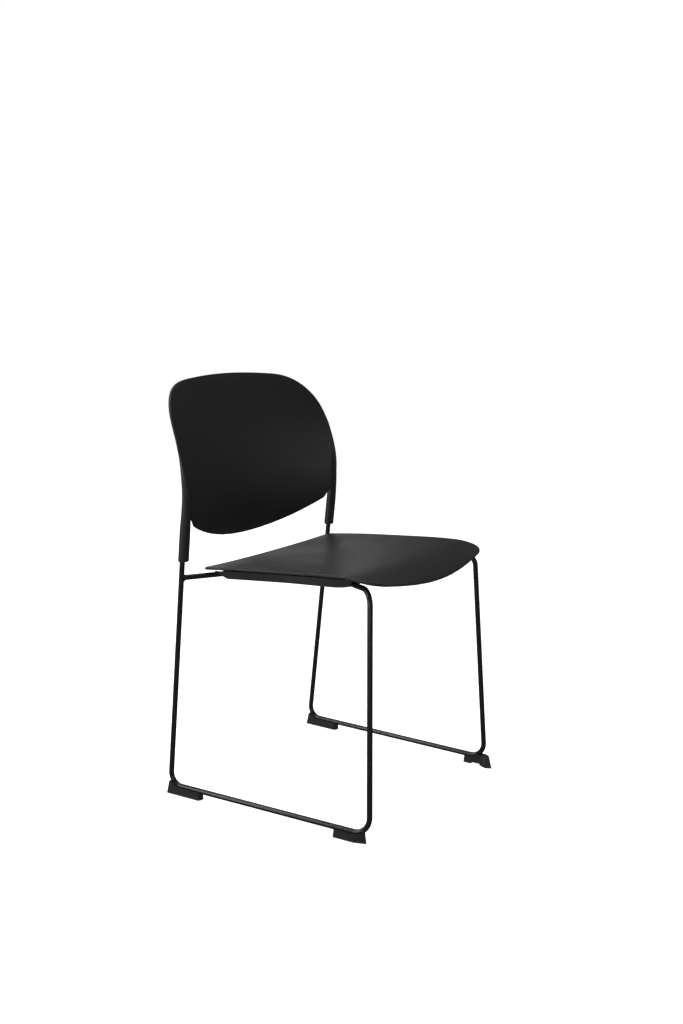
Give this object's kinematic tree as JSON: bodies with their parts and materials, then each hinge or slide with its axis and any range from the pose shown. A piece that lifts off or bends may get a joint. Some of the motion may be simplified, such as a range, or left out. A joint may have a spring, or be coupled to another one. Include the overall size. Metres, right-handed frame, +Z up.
{
  "type": "choir chair",
  "caption": "Stacking sled-base chair with a moulded seat and backrest on a frame of bent steel rod, standing on clip-on plastic glides.",
  "frame": {"origin": "on the floor under the middle of the chair's outer box", "axes": "+Z up, -Y towards the way the sitter faces, +X towards the sitter's left"},
  "size_m": [0.499, 0.5042, 0.793],
  "materials": {
    "frame_steel": "black powder coat, fine grain, semi-gloss",
    "seat_plastic": "black polypropylene, fine moulded grain, satin",
    "back_plastic": "black polypropylene, fine moulded grain, satin",
    "cover_plastic": "black polypropylene, fine moulded grain, matt",
    "glide_plastic": "black nylon, satin, soles scuffed dull",
    "screw_steel": "black zinc plate, satin"
  },
  "bodies": {
    "root": {"side_rod_left": "frame_steel", "side_rod_right": "frame_steel", "cross_bar_front": "frame_steel", "cross_bar_rear": "frame_steel", "post_weld_beads": "frame_steel", "cross_bar_weld_beads": "frame_steel", "seat_tab_front_left": "frame_steel", "seat_tab_front_right": "frame_steel", "seat_tab_rear_left": "frame_steel", "seat_tab_rear_right": "frame_steel", "seat_shell": "seat_plastic", "under_seat_cover": "cover_plastic", "backrest_shell": "back_plastic", "glide_rear_left": "glide_plastic", "glide_rear_right": "glide_plastic", "glide_front_left": "glide_plastic", "glide_front_right": "glide_plastic", "seat_screws": "screw_steel", "cover_screws": "screw_steel", "socket_screws": "screw_steel"}
  },
  "joints": []
}
